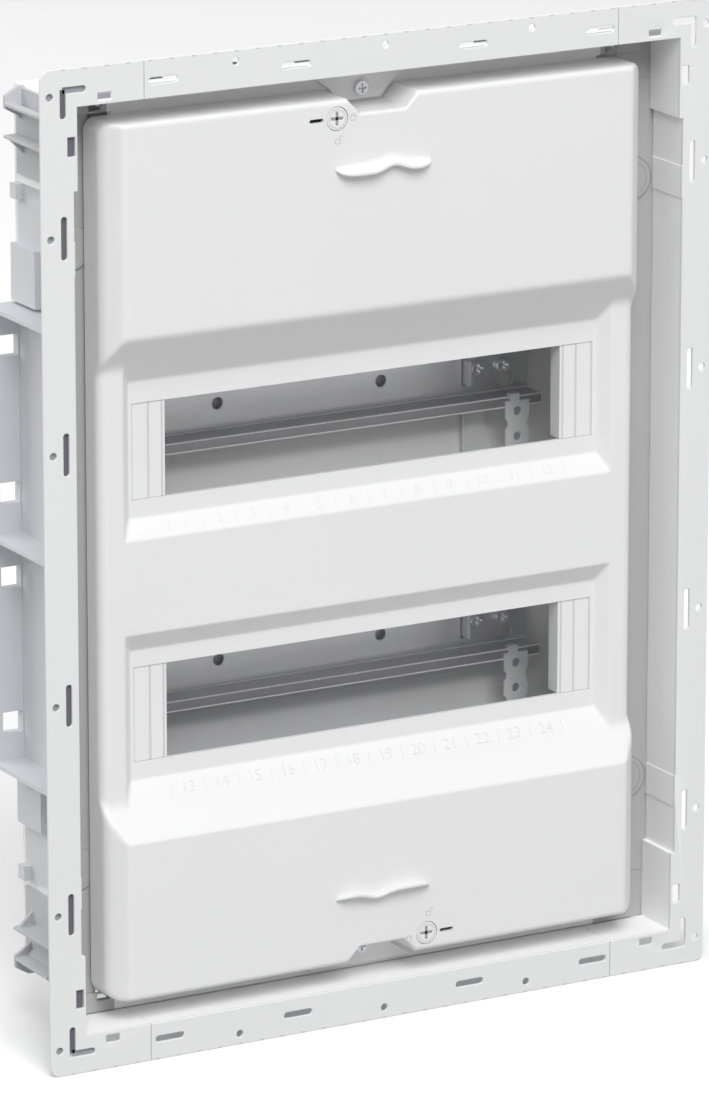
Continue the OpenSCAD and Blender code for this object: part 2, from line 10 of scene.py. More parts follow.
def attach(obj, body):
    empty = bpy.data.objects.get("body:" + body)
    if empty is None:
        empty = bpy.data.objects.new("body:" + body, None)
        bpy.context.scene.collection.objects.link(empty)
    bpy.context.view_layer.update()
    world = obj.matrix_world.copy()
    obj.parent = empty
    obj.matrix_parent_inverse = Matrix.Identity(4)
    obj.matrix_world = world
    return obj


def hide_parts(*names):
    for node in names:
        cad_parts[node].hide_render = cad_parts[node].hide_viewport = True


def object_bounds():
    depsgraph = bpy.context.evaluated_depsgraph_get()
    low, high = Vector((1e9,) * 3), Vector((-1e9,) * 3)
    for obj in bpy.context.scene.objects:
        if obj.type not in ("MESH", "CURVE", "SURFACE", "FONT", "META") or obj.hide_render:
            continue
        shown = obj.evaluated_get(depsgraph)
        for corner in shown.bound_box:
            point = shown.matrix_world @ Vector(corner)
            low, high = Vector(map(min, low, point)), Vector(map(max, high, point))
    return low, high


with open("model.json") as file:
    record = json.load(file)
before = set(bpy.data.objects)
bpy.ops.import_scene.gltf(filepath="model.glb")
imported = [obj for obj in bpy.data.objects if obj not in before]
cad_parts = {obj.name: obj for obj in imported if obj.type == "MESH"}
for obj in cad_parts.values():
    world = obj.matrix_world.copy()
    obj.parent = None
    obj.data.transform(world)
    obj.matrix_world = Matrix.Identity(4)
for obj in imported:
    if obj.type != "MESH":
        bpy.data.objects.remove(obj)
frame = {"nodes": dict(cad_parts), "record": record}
cad_low, cad_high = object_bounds()
MM = 0.001
print("CAD box in mm:", [round(float(v) / MM, 1) for v in (*cad_low, *cad_high)])

# %% [markdown]
# ## Shader maths that reads like maths
# A material is a net of nodes. Wrapping each socket in a small class lets `noise * 0.2 + 0.4` add
# its own Math nodes, so a recipe fits on one line. Every other node comes from one method.
# %% A socket that takes part in sums
class Value:
    """One node output. Sums and products with it add Math nodes to its tree."""

    def __init__(self, tree, socket):
        self.tree = tree
        self.socket = socket

    def _maths(self, operation, first, second):
        node = self.tree.nodes.new("ShaderNodeMath")
        node.operation = operation
        for slot, value in zip(node.inputs, (first, second)):
            if isinstance(value, Value):
                self.tree.links.new(value.socket, slot)
            else:
                slot.default_value = value
        return Value(self.tree, node.outputs[0])

    def __add__(self, other): return self._maths("ADD", self, other)
    def __radd__(self, other): return self._maths("ADD", other, self)
    def __sub__(self, other): return self._maths("SUBTRACT", self, other)
    def __rsub__(self, other): return self._maths("SUBTRACT", other, self)
    def __mul__(self, other): return self._maths("MULTIPLY", self, other)
    def __rmul__(self, other): return self._maths("MULTIPLY", other, self)


class Finish:
    """A new material with one method that adds any node: its kind, settings and inputs."""

    def __init__(self, name):
        self.material = bpy.data.materials.new(name)
        self.material.use_nodes = True
        self.tree = self.material.node_tree
        self.shader = self.tree.nodes["Principled BSDF"]

    def node(self, kind, settings=None, inputs=None, output=0):
        node = self.tree.nodes.new("ShaderNode" + kind)
        for key, value in (settings or {}).items():
            setattr(node, key, value)
        self.feed(node, inputs or {})
        return Value(self.tree, node.outputs[output])

    def feed(self, node, inputs):
        for key, value in inputs.items():
            if isinstance(value, Value):
                self.tree.links.new(value.socket, node.inputs[key])
            else:
                node.inputs[key].default_value = value

    def set(self, **inputs):
        self.feed(self.shader, {key.replace("_", " "): value for key, value in inputs.items()})
        return self.material

    def noise(self, scale, detail=2.0, stretch=(1, 1, 1)):
        """Noise on the object's own coordinates: scale counts its grains in one metre."""
        place = self.node("TexCoord", output=3)
        place = self.node("Mapping", inputs={"Vector": place, "Scale": stretch})
        return self.node("TexNoise", inputs={"Vector": place, "Scale": scale, "Detail": detail})

    def blend(self, mask, first, second):
        """The first colour where the mask is 0 and the second where it is 1."""
        return self.node("Mix", {"data_type": "RGBA"},
                         {0: mask, 6: (*first, 1), 7: (*second, 1)}, output=2)

    def bump(self, height, distance, strength=1.0):
        return self.node("Bump", inputs={"Height": height, "Distance": distance,
                                         "Strength": strength})


# %% [markdown]
# ## Moulded plastic
# The housing is injection-moulded. Real mouldings are never one flat colour: the melt leaves faint
# clouds, and the spark-eroded tool leaves a fine grain that breaks up the gloss. Two noises do
# this, a large soft one in the colour and a tiny one in the bump and the roughness.
# %% Plastic finishes
def beyond(finish, axis, limit):
    """1 where the size of one object coordinate is over a limit in metres, 0 elsewhere."""
    place = finish.node("TexCoord", output=3)
    along = finish.node("SeparateXYZ", inputs={0: place}, output=axis)
    size = finish.node("Math", {"operation": "ABSOLUTE"}, {0: along})
    return finish.node("Math", {"operation": "GREATER_THAN"}, {0: size, 1: limit})


def tinted(finish, body, tints):
    """A tint is a colour for a zone between two depths, and beyond a limit on another axis."""
    for tint, near, far, axis, limit in tints:
        zone = beyond(finish, 1, near) * (1 - beyond(finish, 1, far)) * beyond(finish, axis, limit)
        body = finish.node("Mix", {"data_type": "RGBA"}, {0: zone, 6: body, 7: (*tint, 1)}, output=2)
    return body


def plastic(name, colour, roughness, grain=0.00002, cloud=0.03, coat=0.0, tints=()):
    """Clouded colour = the colour times 1 - cloud ... 1; grain is the bump's height in metres."""
    finish = Finish(name)
    clouds = finish.noise(14, 3)
    fine = finish.noise(2200, 2)
    darker = tuple(c * (1 - cloud) for c in colour)
    return finish.set(Base_Color=tinted(finish, finish.blend(clouds, darker, colour), tints),
                      Roughness=fine * 0.10 + (roughness - 0.05),
                      Coat_Weight=coat,
                      Normal=finish.bump(fine, grain))


COVER_WHITE = plastic("cover_white", (0.800, 0.800, 0.802), 0.42, coat=0.10)
SHADE = (0.12, 0.13, 0.15)
# The flange's white carries painted light and painted shade in its tints. The collar walls over 150 mm to
# the sides and over 217 mm up or down, 1.75 to 26.2 mm deep, are lightened as painted light. The collar's
# top and bottom faces over 220 mm out, to 21.5 mm deep, are a lilac grey as painted shade.
FLANGE_WHITE = plastic("flange_white", (0.790, 0.792, 0.796), 0.50, tints=(
    ((0.92, 0.92, 0.92), 0.00175, 0.0262, 0, 0.1500), ((0.92, 0.92, 0.92), 0.00175, 0.0262, 2, 0.2170),
    ((0.42, 0.44, 0.48), 0.00175, 0.0215, 2, 0.2200)))
# The box's ledge, 20 to 28.8 mm deep and over 130 mm to the sides, is darkened to 0.42 grey: painted shade.
# Beyond 60 mm deep the box is lighter, at 0.94.
BOX_GREY = plastic("box_grey", (0.83, 0.83, 0.83), 0.55, grain=0.00004, tints=(
    ((0.42, 0.42, 0.42), 0.020, 0.0288, 0, 0.1300), ((0.94, 0.94, 0.94), 0.060, 0.200, 1, 0.060)))
# The side channels are the box's plastic, coloured darker and bluer: painted shade.
SIDE_PAINTED_SHADE_GREY = plastic("side_painted_shade_grey", (0.70, 0.715, 0.74), 0.55, grain=0.00004)
ANCHOR_GREY = plastic("anchor_grey", (0.54, 0.55, 0.57), 0.55, grain=0.00004)
LOCK_WHITE = plastic("lock_white", (0.82, 0.82, 0.82), 0.35)
MARK_GREY = plastic("mark_grey", (0.62, 0.62, 0.62), 0.5)
NUMBER_GREY = plastic("number_grey", (0.745, 0.745, 0.745), 0.5)
LEDGE_LINE = plastic("ledge_line", (0.34, 0.34, 0.34), 0.6)
# Dark grey for the lock crosses: painted shade in the locks' recesses.
RECESS_PAINTED_SHADE = plastic("recess_painted_shade", (0.32, 0.32, 0.33), 0.6)
WEB_BACK = ((0.790, 0.792, 0.796), 0.0019, 0.0100, 1, 0.0)
# Painted shade for the left flange's hole webs, dark and grey in front, the flange's colour behind.
PAINTED_SHADE_WEB = plastic("painted_shade_web", SHADE, 0.6, tints=(WEB_BACK,))
PAINTED_GREY_SHADE_WEB = plastic("painted_grey_shade_web", (0.34, 0.35, 0.38), 0.6, tints=(WEB_BACK,))
GREEN = plastic("earth_green", (0.10, 0.36, 0.12), 0.45)
BLUE = plastic("neutral_blue", (0.03, 0.12, 0.42), 0.45)
GROMMET = plastic("grommet_rubber", (0.09, 0.092, 0.095), 0.75, grain=0.00008)
print("plastic finishes:", 14)

# %% [markdown]
# ## Plated steel and brass
# Rails and straps are cold-rolled and zinc-plated: fine lines along the rolling direction and
# soft grey clouds where the plating is thicker. Stretching one noise a hundred times along X gives
# the lines. Brass gets the same lines and a warmer tint.
# %% Metal finishes
def metal(name, colour, dark, roughness, stretch=(0.02, 1, 1), shine=1.0, tints=()):
    """Rolled lines = noise stretched along one axis, added to the roughness and the bump."""
    finish = Finish(name)
    clouds = finish.noise(45, 3)
    lines = finish.noise(1800, 2, stretch)
    return finish.set(Base_Color=tinted(finish, finish.blend(clouds, dark, colour), tints), Metallic=shine,
                      Roughness=lines * 0.16 + clouds * 0.08 + (roughness - 0.12),
                      Normal=finish.bump(lines, 0.00003, 0.6))


ZINC = metal("zinc_plate", (0.76, 0.76, 0.77), (0.66, 0.665, 0.68), 0.42, shine=0.6)
# The rails' front lips, 60 to 69.9 mm deep, are a darker zinc: painted shade.
RAIL_ZINC = metal("rail_zinc", (0.76, 0.76, 0.77), (0.66, 0.665, 0.68), 0.42, shine=0.6,
                  tints=(((0.46, 0.46, 0.47), 0.0600, 0.0699, 1, 0.0),))
# White beads without metal shine on the rails' bends: painted highlights.
BEND_HIGHLIGHT = metal("painted_bend_highlight", (0.98, 0.98, 0.98), (0.92, 0.92, 0.93), 0.30, shine=0.0)
UPRIGHT_ZINC = metal("upright_zinc", (0.93, 0.93, 0.94), (0.85, 0.855, 0.86), 0.46, (1, 1, 0.02), 0.25)
SCREW = metal("screw_steel", (0.97, 0.97, 0.98), (0.88, 0.885, 0.90), 0.24, shine=0.8)
BRASS = metal("terminal_brass", (0.78, 0.60, 0.28), (0.62, 0.45, 0.18), 0.34)
print("metal finishes:", 6)

# %% [markdown]
# ## Rounded copies of the solid parts
# A moulding or a pressing has no knife edges. Each flat-sided part keeps its solid's shape, and a
# Bevel modifier rounds its edges by a few tenths of a millimetre so that they catch the light. The
# copy's triangles are first merged into whole faces, or the bevel would follow every triangle.
# %% Soften one part
def body_holding(node):
    for body, nodes in frame["record"]["behaviour"]["bodies"].items():
        if node in nodes:
            return body


def slot_of(node):
    for part in frame["record"]["subparts"]:
        if part["node"] == node:
            return part["material_slot"]


def settle(piece, smooth_angle, flat_over=None):
    """The piece's mesh with its modifiers carried out, smooth only where faces turn gently.
    Faces over flat_over square metres or with more than four corners stay flat."""
    bpy.context.view_layer.update()
    graph = bpy.context.evaluated_depsgraph_get()
    done = bpy.data.meshes.new_from_object(piece.evaluated_get(graph))
    piece.modifiers.clear()
    piece.data = done
    done.shade_smooth()
    if flat_over is not None:
        count = len(done.polygons)
        areas, corners = np.empty(count), np.empty(count, dtype=np.int32)
        done.polygons.foreach_get("area", areas)
        done.polygons.foreach_get("loop_total", corners)
        done.polygons.foreach_set("use_smooth", (areas < flat_over) & (corners < 5))
    done.set_sharp_from_angle(angle=math.radians(smooth_angle))


def soften(node, width, material, segments=2):
    """A copy of the node whose edges over 30 degrees are rounded by width millimetres. Sheets
    pierced close to their edges keep their plain edges, with width 0."""
    shape = bmesh.new()
    shape.from_mesh(frame["nodes"][node].data)
    bmesh.ops.remove_doubles(shape, verts=shape.verts, dist=1e-6)
    if width:
        bmesh.ops.dissolve_limit(shape, angle_limit=math.radians(0.4), verts=shape.verts, edges=shape.edges)
    mesh = bpy.data.meshes.new(node + "_part")
    shape.to_mesh(mesh)
    shape.free()
    piece = bpy.data.objects.new(node + "_part", mesh)
    bpy.context.scene.collection.objects.link(piece)
    mesh.materials.clear()
    mesh.materials.append(material)
    if width:
        bevel = piece.modifiers.new("rounding", "BEVEL")
        bevel.width = width * MM
        bevel.segments = segments
        bevel.limit_method = "ANGLE"
        bevel.angle_limit = math.radians(30)
        bevel.use_clamp_overlap = False
        bevel.loop_slide = False
    settle(piece, 14, 4e-5)
    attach(piece, body_holding(node))
    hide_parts(node)
    slot_of(node)
    return piece


# %% [markdown]
# The list below says how round each part is: wide soft edges on mouldings, tight ones on sheet
# metal, tiny ones on screws.
# %% Soften all of them
SOFT = {
    "wall_box": (0.5, BOX_GREY), "left_flange": (0.35, FLANGE_WHITE), "right_flange": (0.35, FLANGE_WHITE),
    "top_entry_wall": (0.35, FLANGE_WHITE), "bottom_entry_wall": (0.35, FLANGE_WHITE),
    "top_grommets": (0.3, GROMMET), "bottom_grommets": (0.3, GROMMET),
    "left_side_channel": (0, SIDE_PAINTED_SHADE_GREY), "right_side_channel": (0, SIDE_PAINTED_SHADE_GREY),
    "upper_left_anchor": (0.3, ANCHOR_GREY), "upper_right_anchor": (0.3, ANCHOR_GREY),
    "lower_left_anchor": (0.3, ANCHOR_GREY), "lower_right_anchor": (0.3, ANCHOR_GREY),
    "upper_crossbar": (0.3, BOX_GREY), "lower_crossbar": (0.3, BOX_GREY),
    "terminal_bracket_screws": (0.2, ZINC),
    "upper_din_rail": (0.6, RAIL_ZINC), "lower_din_rail": (0.6, RAIL_ZINC),
    "upper_rail_screws": (0.2, SCREW), "lower_rail_screws": (0.2, SCREW),
    "left_link_bar": (0.3, UPRIGHT_ZINC), "right_link_bar": (0.3, UPRIGHT_ZINC),
    "upper_left_rail_strap": (0.25, UPRIGHT_ZINC), "upper_right_rail_strap": (0.25, UPRIGHT_ZINC),
    "lower_left_rail_strap": (0.25, UPRIGHT_ZINC), "lower_right_rail_strap": (0.25, UPRIGHT_ZINC),
    "earth_bracket": (0.4, GREEN), "earth_bar": (0.4, BRASS), "earth_clamp_screws": (0.2, SCREW),
    "neutral_bracket": (0.4, BLUE), "neutral_bar": (0.4, BRASS), "neutral_clamp_screws": (0.2, SCREW),
    "upper_left_blank": (0.15, COVER_WHITE), "upper_right_blank": (0.15, COVER_WHITE),
    "lower_left_blank": (0.15, COVER_WHITE), "lower_right_blank": (0.15, COVER_WHITE),
    "upper_lock": (0.25, LOCK_WHITE), "lower_lock": (0.25, LOCK_WHITE),
}
for node, (width, material) in SOFT.items():
    soften(node, width, material)
print("softened parts:", len(SOFT))

# %% [markdown]
# ## A piece from a grid
# The cover, the grips and the small raised details are surfaces worked out with numpy: arrays of
# X, Y and Z in millimetres on a grid of two parameters. One helper turns them into a mesh.
# %% Grid to piece
def piece_from(name, points, faces, material, body, smooth_angle=35):
    """A mesh of points in millimetres and faces, riding on a body."""
    mesh = bpy.data.meshes.new(name)
    mesh.from_pydata((points * MM).tolist(), [], faces.tolist())
    mesh.materials.append(material)
    mesh.shade_smooth()
    mesh.set_sharp_from_angle(angle=math.radians(smooth_angle))
    piece = bpy.data.objects.new(name, mesh)
    bpy.context.scene.collection.objects.link(piece)
    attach(piece, body)
    return piece


def grid_faces(rows, columns, keep=None, wrap=False):
    """Quads between neighbouring grid points, row by row. keep drops those it marks False."""
    index = np.arange(rows * columns).reshape(rows, columns)
    if wrap:
        index = np.concatenate([index, index[:, :1]], axis=1)
    quads = np.stack([index[:-1, :-1], index[:-1, 1:], index[1:, 1:], index[1:, :-1]], axis=-1)
    if keep is not None:
        quads = quads[keep]
    return quads.reshape(-1, 4)


# %% [markdown]
# ## The cover
# The cover is one thin moulding. Seen from the front it is a landscape of planes: two raised
# panels, two pillars, a middle panel and two sunken window fields joined by slants. So its front is
# written as a depth for each X and Z. Each plane is a formula, the deeper or the shallower of two
# planes joins them, and a polynomial rounds each join as a mould-maker's cutter would.
# %% Joins between planes
def shallower(a, b, r):
    """The smaller of two depths. Within r of a join a parabola rounds it."""
    h = np.clip(0.5 + 0.5 * (b - a) / r, 0, 1)
    return b * (1 - h) + a * h - r * h * (1 - h)


def deeper(a, b, r):
    """The larger of two depths, rounded in the same way."""
    return -shallower(-a, -b, r)


def roll(distance, r):
    """How far an edge of radius r has turned back at a distance inside the outline."""
    d = np.clip(r - distance, 0, r)
    return r - np.sqrt(np.maximum(r * r - d * d, 0))


# %% [markdown]
# The sizes repeat the solid model's: the outline, the depth of each level and the heights at which
# slants begin and end.
# %% The cover's depth
HALF_W, HALF_H, CORNER_R = 142.2, 207.3, 6.0
PANEL, PILLAR, VALLEY, RIM = 2.1, 12.5, 18.5, 25.5
WINDOWS = (50.7, -74.3)
WINDOW_HALF_W, WINDOW_HALF_H = 122.5, 22.8


def inside(x, z):
    """Distance inside the rounded outline: its radius less the distance from the corner's centre."""
    qx = np.abs(x) - (HALF_W - CORNER_R)
    qz = np.abs(z) - (HALF_H - CORNER_R)
    outer = np.hypot(np.maximum(qx, 0), np.maximum(qz, 0))
    return CORNER_R - (outer + np.minimum(np.maximum(qx, qz), 0))


def cover_depth(x, z):
    """Panels = deepest of front, slant and side chamfer. Front = shallower of panels and pillars.
    Fields = shallowest of floor, slants and sides. The cover is the deeper of front and fields."""
    wide = np.abs(x)
    edge = inside(x, z)
    chamfer = PANEL + wide - 133.8
    slant = PANEL + (107.4 - z) / 1.433
    lower_slant = PANEL + (z + 131) / 1.545
    upper = deeper(deeper(PANEL + 0 * z, slant, 1.5), chamfer, 1.6) + roll(edge, 2.4)
    lower = deeper(deeper(PANEL + 0 * z, lower_slant, 0.5), chamfer, 1.6) + roll(edge, 2.4)
    pillars = PILLAR + roll(edge, 5.0)
    front = shallower(shallower(upper, lower, 1.2), pillars, 1.2)
    sides = PILLAR + (129.7 - wide) / 0.88
    first = shallower(shallower(slant, PILLAR + (z - 10.3) / 1.5, 1.0), sides, 1.0)
    second = shallower(shallower(lower_slant, PILLAR + (-34.3 - z) / 1.5, 1.0), sides, 1.0)
    first = shallower(first, VALLEY + 0 * z, 0.4)
    second = shallower(second, VALLEY + 0 * z, 0.4)
    return deeper(front, deeper(first, second, 0.5), 0.45)


def lines(*spans):
    """Grid lines from spans of (start, end, steps), each end shared with the next start."""
    parts = [np.linspace(a, b, n, endpoint=False) for a, b, n in spans]
    return np.concatenate(parts + [[spans[-1][1]]])


def both_ways(half):
    return np.concatenate([-half[:0:-1], half])


turn = np.sin(np.linspace(0, math.pi / 2, 13))[1:]
across = np.concatenate([lines((0, 11, 4), (11, 20, 14), (20, 120, 20), (120, 122.5, 3),
                               (122.5, 136.2, 20)), 136.2 + 6.0 * turn])
across = both_ways(across)
turn = np.sin(np.linspace(0, math.pi / 2, 11))[1:]
top_end, bottom_end = 201.3 + 6.0 * turn, -201.3 - 6.0 * turn
up = np.concatenate([bottom_end[::-1], lines(
    (-201.3, -140, 12), (-140, -132.2, 6), (-132.2, -129.8, 10), (-129.8, -107, 10), (-107, -104.6, 10),
    (-104.6, -97.1, 4), (-97.1, -51.5, 8), (-51.5, -44.4, 3), (-44.4, -42.4, 8), (-42.4, -35.2, 6),
    (-35.2, -33.4, 8), (-33.4, 9.4, 6), (9.4, 11.2, 8), (11.2, 18.4, 4), (18.4, 20.4, 8),
    (20.4, 27.9, 3), (27.9, 73.5, 8), (73.5, 80, 3), (80, 88, 10),
    (88, 100, 5), (100, 116, 22), (116, 186, 10), (186, 201.3, 6)), top_end])
print("cover grid:", len(up), "by", len(across))

# %% [markdown]
# The outline has a notch over each centre screw. Squeezing the grid rows under it by a share that
# depends on X makes the notch without a cut, so the rounded edge follows it. The corner rows and
# columns are bent onto a quarter circle in the same spirit, and a skirt goes back to the rim.
# %% The cover's outline and skirt
NOTCH_TOP, NOTCH_FOOT, NOTCH_DEPTH, NOTCH_START = 18.4, 12.0, 7.0, 188.0


def notched(x, z):
    """Rows above the notch's start are squeezed towards it, fully between the notch's feet."""
    share = np.clip((NOTCH_TOP - np.abs(x)) / (NOTCH_TOP - NOTCH_FOOT), 0, 1)
    reach = HALF_H - NOTCH_START
    beyond = np.clip(np.abs(z) - NOTCH_START, 0, reach)
    return z - np.sign(z) * beyond * share * NOTCH_DEPTH / reach


def rounded_corner(x, z):
    """In each corner's square, x' = x sqrt(1 - z z / 2) and z' = z sqrt(1 - x x / 2)."""
    a = np.clip((np.abs(x) - (HALF_W - CORNER_R)) / CORNER_R, 0, 1)
    b = np.clip((np.abs(z) - (HALF_H - CORNER_R)) / CORNER_R, 0, 1)
    shift_x = CORNER_R * (a * np.sqrt(1 - b * b / 2) - a)
    shift_z = CORNER_R * (b * np.sqrt(1 - a * a / 2) - b)
    return x + np.sign(x) * shift_x, z + np.sign(z) * shift_z


SKIRT = 6
x, z = np.meshgrid(across, up)
x, z = rounded_corner(x, z)
y = cover_depth(x, z)
z = notched(x, z)
x, y, z = (np.pad(v, SKIRT, mode="edge") for v in (x, y, z))
rows, columns = x.shape
row_out = np.maximum(SKIRT - np.arange(rows), np.arange(rows) - (rows - 1 - SKIRT)).clip(0)
column_out = np.maximum(SKIRT - np.arange(columns), np.arange(columns) - (columns - 1 - SKIRT)).clip(0)
back = np.maximum(row_out[:, None], column_out[None, :]) / SKIRT
y = y + (RIM - y) * back
centre_x = (x[:-1, :-1] + x[1:, 1:]) / 2
centre_z = (z[:-1, :-1] + z[1:, 1:]) / 2
keep = np.ones(centre_x.shape, bool)
for window in WINDOWS:
    keep &= ~((np.abs(centre_x) < WINDOW_HALF_W) & (np.abs(centre_z - window) < WINDOW_HALF_H))
outside_rows = (row_out[:-1] + row_out[1:] > 1)[:, None]
outside_columns = (column_out[:-1] + column_out[1:] > 1)[None, :]
keep &= ~(outside_rows & outside_columns)

cover = piece_from("cover_moulding", np.stack([x, y, z], -1).reshape(-1, 3),
                   grid_faces(rows, columns, keep), COVER_WHITE, "cover")
shape = bmesh.new()
shape.from_mesh(cover.data)
bmesh.ops.remove_doubles(shape, verts=shape.verts, dist=1e-6)
bmesh.ops.delete(shape, geom=[v for v in shape.verts if not v.link_faces], context="VERTS")
shape.to_mesh(cover.data)
shape.free()
wall = cover.modifiers.new("skin", "SOLIDIFY")
wall.thickness = 2 * MM
wall.offset = -1
print("cover faces:", len(cover.data.polygons))

# %% [markdown]
# Holes for the lock heads and the sealing slots are cut with the Boolean modifier from round
# cutters, on the flat part of the panel where the grid is coarse, and the result is kept as a mesh.
# %% Cut the lock holes
LOCK_X, LOCK_Z, LOCK_BORE = 24.0, 198.7, 5.7


def prism(outline, y0, y1):
    """An outline in X and Z, listed anticlockwise as seen from the front, drawn out from y0 to y1."""
    n = len(outline)
    front = np.stack([outline[:, 0], np.full(n, y0), outline[:, 1]], -1)
    behind = np.stack([outline[:, 0], np.full(n, y1), outline[:, 1]], -1)
    ring = np.arange(n)
    after = (ring + 1) % n
    sides = np.stack([ring, ring + n, after + n, after], -1)
    return np.concatenate([front, behind]), [ring.tolist(), (ring[::-1] + n).tolist()] + sides.tolist()


def round_outline(cx, cz, r, n=48, stretch=0.0):
    """A circle whose halves are moved apart by stretch on each side, as a slot."""
    t = np.arange(n) / n * 2 * math.pi
    return np.stack([cx + r * np.cos(t) + np.sign(np.cos(t)) * stretch, cz + r * np.sin(t)], -1)


def cut(piece, outlines, y0, y1):
    """The piece less the prisms of these outlines, kept as a plain mesh."""
    for outline in outlines:
        points, faces = prism(outline, y0, y1)
        mesh = bpy.data.meshes.new("cutter")
        mesh.from_pydata((points * MM).tolist(), [], faces)
        cutter = bpy.data.objects.new("cutter", mesh)
        bpy.context.scene.collection.objects.link(cutter)
        saw = piece.modifiers.new("hole", "BOOLEAN")
        saw.operation = "DIFFERENCE"
        saw.solver = "EXACT"
        saw.object = cutter
    saws = [saw.object for saw in piece.modifiers if saw.type == "BOOLEAN"]
    settle(piece, 35)
    for saw in saws:
        bpy.data.objects.remove(saw)


holes = []
for s in (1, -1):
    holes.append(round_outline(-s * LOCK_X, s * LOCK_Z, LOCK_BORE))
    holes.append(round_outline(-s * 34.8, s * LOCK_Z, 0.95, 24, 2.8))
cut(cover, holes, -3, 8)
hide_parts("cover")
print("cover triangles:", sum(len(p.vertices) - 2 for p in cover.data.polygons))

# %% [markdown]
# ## The finger grips
# Each grip is a soft ramp that grows out of the panel to a wavy lip, with a hollow under it for the
# finger tips. It is a profile carried along X: ramp, round lip, flat underside. Its reach, its
# height and its lip line are functions of X, and both fade to nothing at the ends.
# %% Grips
GRIP_HALF, GRIP_OUT = 25.0, 4.7


def grip(sign):
    """Ramp depth = panel - reach (1 - s) to the power 4, with s from the lip (0) to the ramp's top (1)."""
    u = np.sin(np.linspace(-math.pi / 2, math.pi / 2, 81))[:, None] * GRIP_HALF
    end = np.abs(u) / GRIP_HALF
    fade = np.sqrt(np.maximum(1 - end ** 6, 0))
    reach = GRIP_OUT * fade * (1 - 0.3 * np.exp(-((u - 4.5) / 7) ** 2)) + 0.05
    lip = 172.6 + 2.7 * np.exp(-((u - 4.5) / 6.5) ** 2) + 1.3 * end ** 8
    top = lip + 2.5 + 5.5 * np.sqrt(np.maximum(1 - end ** 2, 0))
    s = np.linspace(1, 0, 31)[None, :]
    ramp_y = PANEL + 0.06 - reach * (1 - s) ** 4
    ramp_z = lip + 0.9 + (top - lip - 0.9) * s
    a = np.linspace(0, math.pi, 9)[None, 1:]
    r = 0.85 * fade
    round_y = ramp_y[:, -1:] - r * np.sin(a) * 0.35
    round_z = lip + 0.9 - r * (1 - np.cos(a))
    under = np.linspace(0, 1, 7)[None, 1:]
    under_y = round_y[:, -1:] + (PANEL + 0.3 - round_y[:, -1:]) * under
    under_z = round_z[:, -1:] + 1.2 * under
    y = np.concatenate([ramp_y, round_y, under_y], 1)
    z = np.concatenate([ramp_z, round_z, under_z], 1)
    x = np.broadcast_to(u, y.shape)
    points = np.stack([sign * x, y, sign * z], -1)
    return points.reshape(-1, 3), grid_faces(*y.shape)[:, ::-1]


for name, sign in (("upper_grip", 1), ("lower_grip", -1)):
    points, faces = grip(sign)
    piece_from(name, points, faces, COVER_WHITE, "cover", 50)
print("grips reach", GRIP_OUT, "mm out of the panels")

# %% [markdown]
# ## Numbers and padlock marks
# The slants under the windows count the places from 1 to 24, with a small line between two places,
# and open and closed padlocks stand beside each lock. The numbers are text turned into a mesh and
# laid on the slant; lines and padlocks are thin ribbons.
# %% Number strips
PITCH = 17.5


def on_slant(points, middle, slope, reach):
    """Flat points (x across, y up the slant, z out) moved to a slant's middle and tilted onto it."""
    length = math.hypot(1, slope)
    up_y, up_z = 1 / length, slope / length
    y = middle[0] + points[:, 1] * up_y - points[:, 2] * up_z
    z = middle[1] + points[:, 1] * up_z + points[:, 2] * up_y
    return np.stack([points[:, 0], y, z], -1)


def figure(text, size):
    """Text as a mesh: its points in millimetres and its faces."""
    curve = bpy.data.curves.new("figure", "FONT")
    curve.body = text
    curve.size = size
    curve.extrude = 0.12
    curve.align_x = "CENTER"
    curve.align_y = "CENTER"
    curve.resolution_u = 3
    holder = bpy.data.objects.new("figure", curve)
    mesh = bpy.data.meshes.new_from_object(holder)
    points = np.empty(len(mesh.vertices) * 3)
    mesh.vertices.foreach_get("co", points)
    faces = [list(p.vertices) for p in mesh.polygons]
    bpy.data.objects.remove(holder)
    bpy.data.curves.remove(curve)
    bpy.data.meshes.remove(mesh)
    return points.reshape(-1, 3), faces


def merged(parts):
    """Several (points, faces) pairs as one."""
    points, faces, count = [], [], 0
    for p, f in parts:
        points.append(p)
        faces += [[i + count for i in face] for face in f]
        count += len(p)
    return np.concatenate(points), faces


def bar(x0, x1, y0, y1, z0, z1):
    """A plain bar from its two corners."""
    c = np.array([[x, y, z] for x in (x0, x1) for y in (y0, y1) for z in (z0, z1)], float)
    return c, [[0, 1, 3, 2], [4, 6, 7, 5], [0, 4, 5, 1], [2, 3, 7, 6], [0, 2, 6, 4], [1, 5, 7, 3]]


parts = []
for first, middle, slope, size in ((1, (15.5, 14.75), 1.5, 7.0), (13, (14.6, -111.5), 1.545, 8.0)):
    for i in range(12):
        at = (i - 5.5) * PITCH
        p, f = figure(str(first + i), size)
        parts.append((on_slant(p + [at, 0, 0], middle, slope, 1), f))
    for i in range(13):
        at = (i - 6) * PITCH
        p, f = bar(at - 0.15, at + 0.15, -3, 3, -0.1, 0.12)
        parts.append((on_slant(p, middle, slope, 1), f))
points, faces = merged(parts)


def loose_piece(name, points, faces, material, body):
    """A piece from a plain list of faces."""
    mesh = bpy.data.meshes.new(name)
    mesh.from_pydata((points * MM).tolist(), [], faces)
    mesh.materials.append(material)
    piece = bpy.data.objects.new(name, mesh)
    bpy.context.scene.collection.objects.link(piece)
    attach(piece, body)
    return piece


loose_piece("place_numbers", points, faces, NUMBER_GREY, "cover")
print("number strip points:", len(points))


